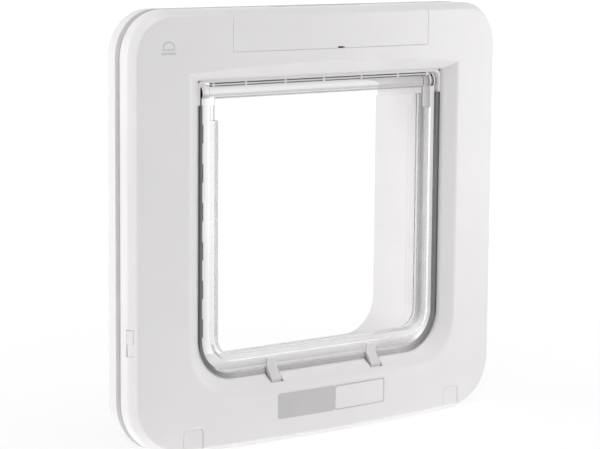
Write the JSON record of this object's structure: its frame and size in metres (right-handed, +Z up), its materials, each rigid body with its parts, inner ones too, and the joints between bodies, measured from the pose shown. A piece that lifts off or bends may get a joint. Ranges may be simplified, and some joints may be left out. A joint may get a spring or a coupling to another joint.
{
  "type": "microchip pet door",
  "caption": "White wall-fixed pet door frame with a bowed front, sloped recess, clear top-hung flap, drop-down lock catches, battery cover and tunnel for a door cut-out.",
  "frame": {"origin": "middle of the passage on the door's face, where the back of the rear shell meets the door", "axes": "+X to the right as seen from the room, +Y through the door and away from the room, +Z up"},
  "size_m": [0.281, 0.075, 0.262],
  "materials": {
    "shell_white": "fine moulded satin",
    "cap_white": "fine moulded satin",
    "tunnel_white": "smooth satin",
    "seal_grey": "matt",
    "catch_grey": "satin",
    "flap_clear": "clear polished",
    "sill_grey": "matt",
    "pinion_brass": "machined",
    "steel": "plated",
    "inner_black": "matt",
    "cell_can": "sleeved can",
    "board_green": "solder resist",
    "coil_copper": "varnished wire",
    "lens_grey": "moulded light guide"
  },
  "bodies": {
    "frame": {"front_shell": "shell_white", "rear_shell": "shell_white", "tunnel": "tunnel_white", "side_seal_left": "seal_grey", "side_seal_right": "seal_grey", "sill_seal": "sill_grey", "hood_seal": "seal_grey", "hinge_bearing_left": "catch_grey", "hinge_bearing_right": "catch_grey", "gearmotor": "steel", "lock_chassis": "inner_black", "battery_tray": "inner_black", "battery_contact_left": "steel", "battery_contact_right": "steel", "battery_cell_1": "cell_can", "battery_cell_2": "cell_can", "battery_cell_3": "cell_can", "battery_cell_4": "cell_can", "circuit_board": "board_green", "reader_coil": "coil_copper", "indicator_lens": "lens_grey", "screw_cap_left": "cap_white", "screw_cap_right": "cap_white", "housing_screws": "steel"},
    "flap": {"flap": "flap_clear"},
    "lock": {"lock_bar": "catch_grey", "catch_left": "catch_grey", "catch_right": "catch_grey"},
    "pinion": {"lock_pinion": "pinion_brass"},
    "cover": {"battery_cover": "shell_white"},
    "switch": {"side_switch": "shell_white"}
  },
  "joints": [
    {"name": "flap_swing", "type": "hinge", "parent": "frame", "child": "flap", "pos_m": [0, -0.02, 0.082], "axis": [1, 0, 0], "range_deg": [0, 85]},
    {"name": "lock_drop", "type": "slide", "parent": "frame", "child": "lock", "axis": [0, 0, -1], "range_m": [0, 0.0065]},
    {"name": "pinion_turn", "type": "hinge", "parent": "frame", "child": "pinion", "pos_m": [0, -0.0208, -0.114], "axis": [1, 0, 0], "range_deg": [0, 58.5]},
    {"name": "cover_lift", "type": "slide", "parent": "frame", "child": "cover", "axis": [0, 0, 1], "range_m": [0, 0.026]},
    {"name": "switch_slide", "type": "slide", "parent": "frame", "child": "switch", "axis": [0, 0, -1], "range_m": [0, 0.007]}
  ],
  "couplings": [
    {"joint": "pinion_turn", "follows": "lock_drop", "rad_per_m": 156.25}
  ]
}
